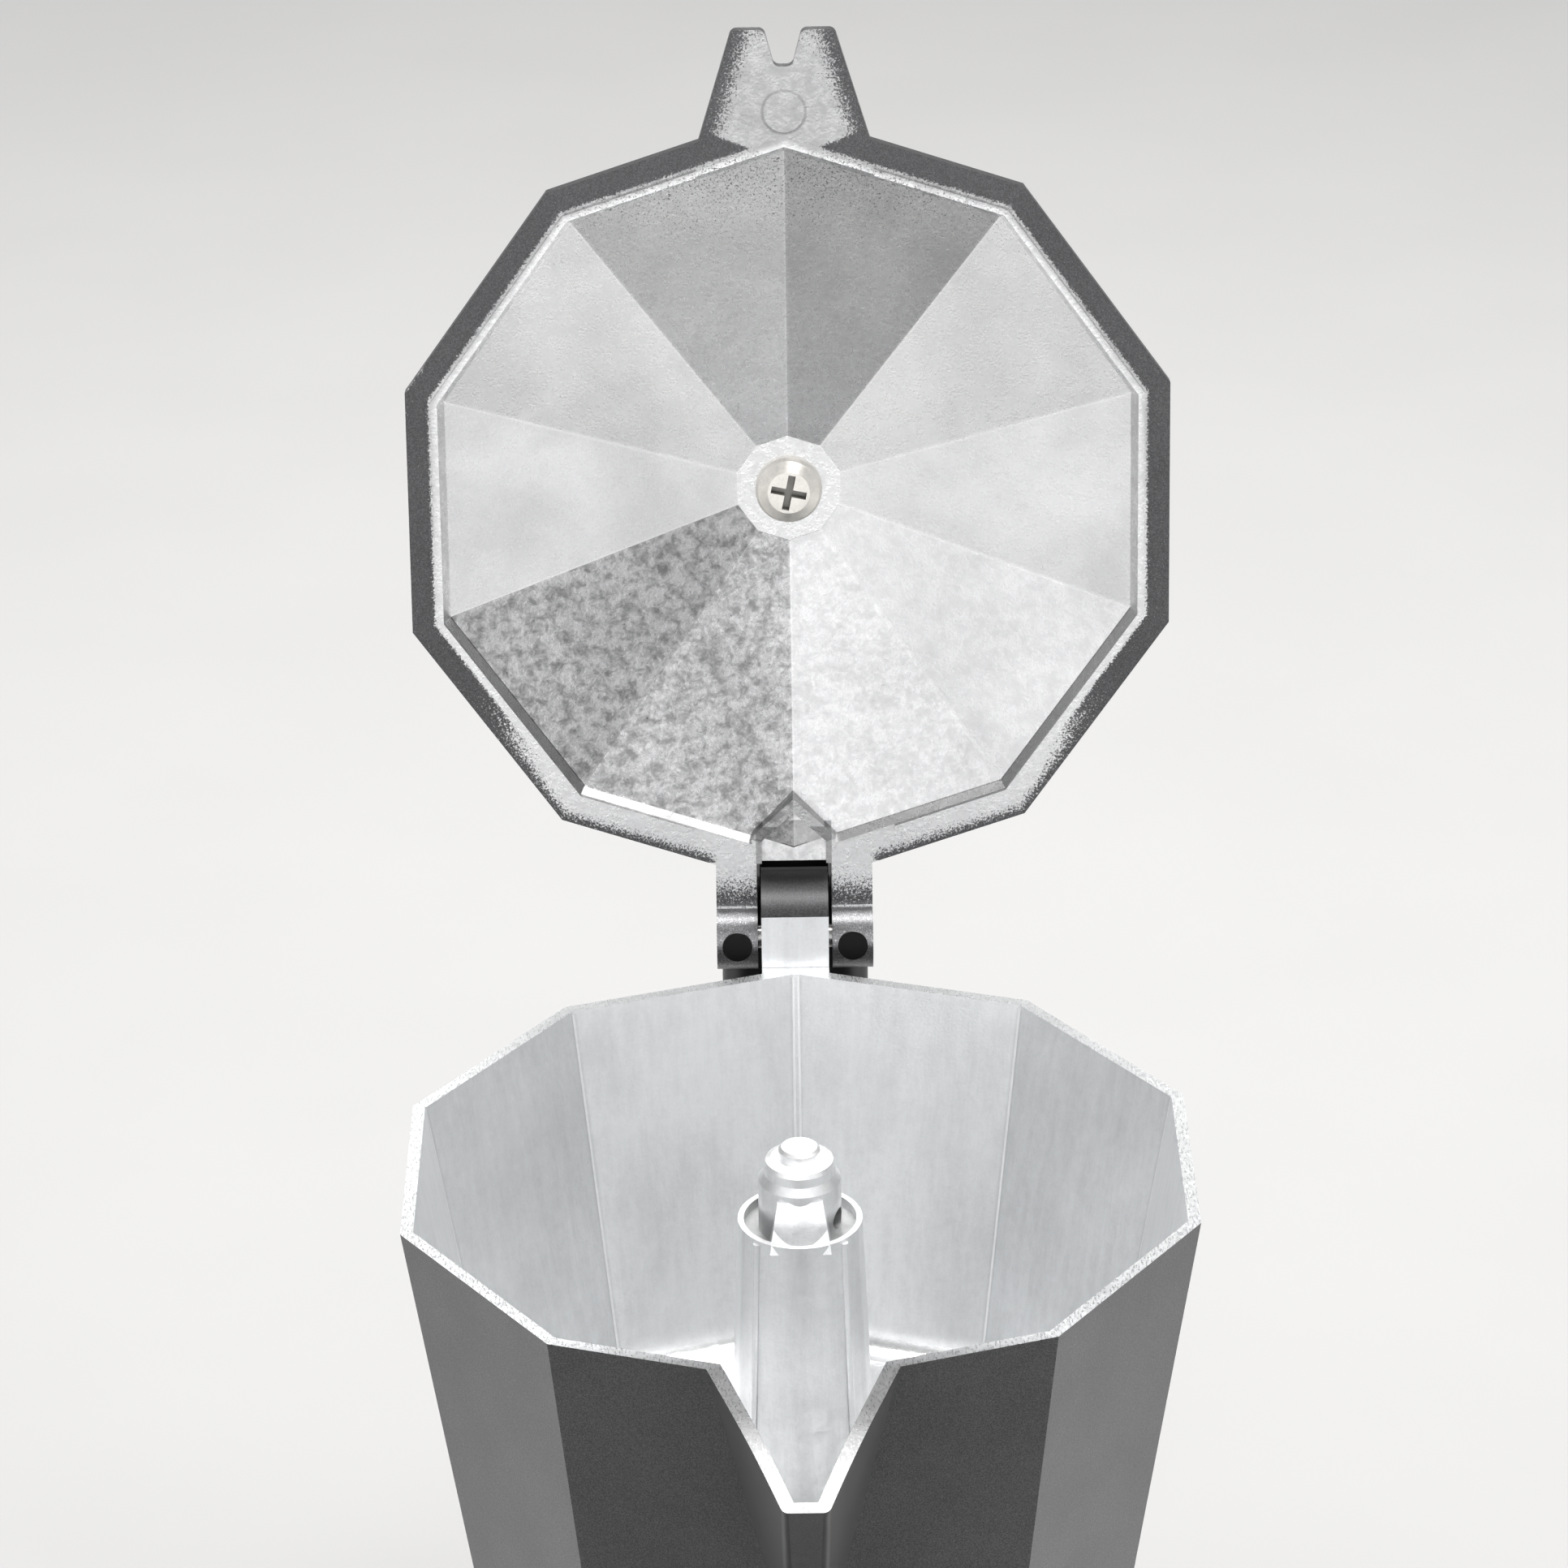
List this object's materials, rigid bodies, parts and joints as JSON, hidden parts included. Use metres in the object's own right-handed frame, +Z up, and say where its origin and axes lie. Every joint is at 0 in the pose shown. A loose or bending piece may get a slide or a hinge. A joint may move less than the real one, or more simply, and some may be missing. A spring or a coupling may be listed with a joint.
{
  "type": "moka pot",
  "caption": "Stove-top moka coffee maker: faceted boiler with safety valve, screw-on collector with column and spout, hinged lid held open, funnel, gasket, knob and handle.",
  "frame": {"origin": "centre of the boiler's flat base, on the pot's axis", "axes": "+Z up the pot's axis, -Y towards the spout, +Y towards the hinge and handle, +X towards the safety valve"},
  "size_m": [0.1045, 0.1748, 0.2454],
  "materials": {
    "boiler_paint": "semi-matt dark anthracite paint with a fine metallic grain",
    "collector_casting": "dark anthracite paint outside, bare light cast aluminium inside and on the rim",
    "lid_casting": "dark paint on top, bare rough cast aluminium underneath with overspray on the flange",
    "sheet_aluminium": "pressed sheet, satin",
    "gasket_rubber": "off-white rubber",
    "seal_silicone": "red silicone",
    "valve_fibre": "dark red fibre",
    "valve_brass": "turned brass",
    "insert_brass": "turned brass",
    "valve_steel": "bright drawn steel",
    "pin_steel": "drawn steel",
    "screw_nickel": "satin nickel plate",
    "black_plastic": "moulded heat-proof plastic, satin"
  },
  "bodies": {
    "base": {"boiler": "boiler_paint", "valve_washer": "valve_fibre", "valve_body": "valve_brass", "valve_spring": "valve_steel", "valve_cap": "valve_brass", "funnel": "sheet_aluminium", "funnel_strainer": "sheet_aluminium"},
    "valve": {"valve_plunger": "valve_steel", "valve_seal": "seal_silicone"},
    "seal": {"gasket": "gasket_rubber", "filter_plate": "sheet_aluminium"},
    "upper": {"collector": "collector_casting", "handle": "black_plastic", "handle_screw": "screw_nickel", "handle_nut": "screw_nickel", "hinge_pin": "pin_steel"},
    "lid_body": {"lid": "lid_casting", "lid_knob": "black_plastic", "knob_insert": "insert_brass", "knob_screw": "screw_nickel"}
  },
  "joints": [
    {"name": "collector_lift", "type": "slide", "parent": "base", "child": "seal", "axis": [0, 0, 1], "range_m": [0, 0.00901]},
    {"name": "collector_turn", "type": "hinge", "parent": "seal", "child": "upper", "pos_m": [0, 0, 0.067], "axis": [0, 0, 1], "range_deg": [0, 1080]},
    {"name": "lid_hinge", "type": "hinge", "parent": "upper", "child": "lid_body", "pos_m": [0, 0.05525, 0.1327], "axis": [1, 0, 0], "range_deg": [0, 98.8]},
    {"name": "valve_lift", "type": "slide", "parent": "base", "child": "valve", "axis": [1, 0, 0], "range_m": [0, 0.0015], "stiffness_N_per_m": 1500, "springref_m": -0.002, "deforming": ["valve_spring"]}
  ],
  "couplings": [
    {"joint": "collector_lift", "follows": "collector_turn", "m_per_rad": 0.00047746}
  ]
}
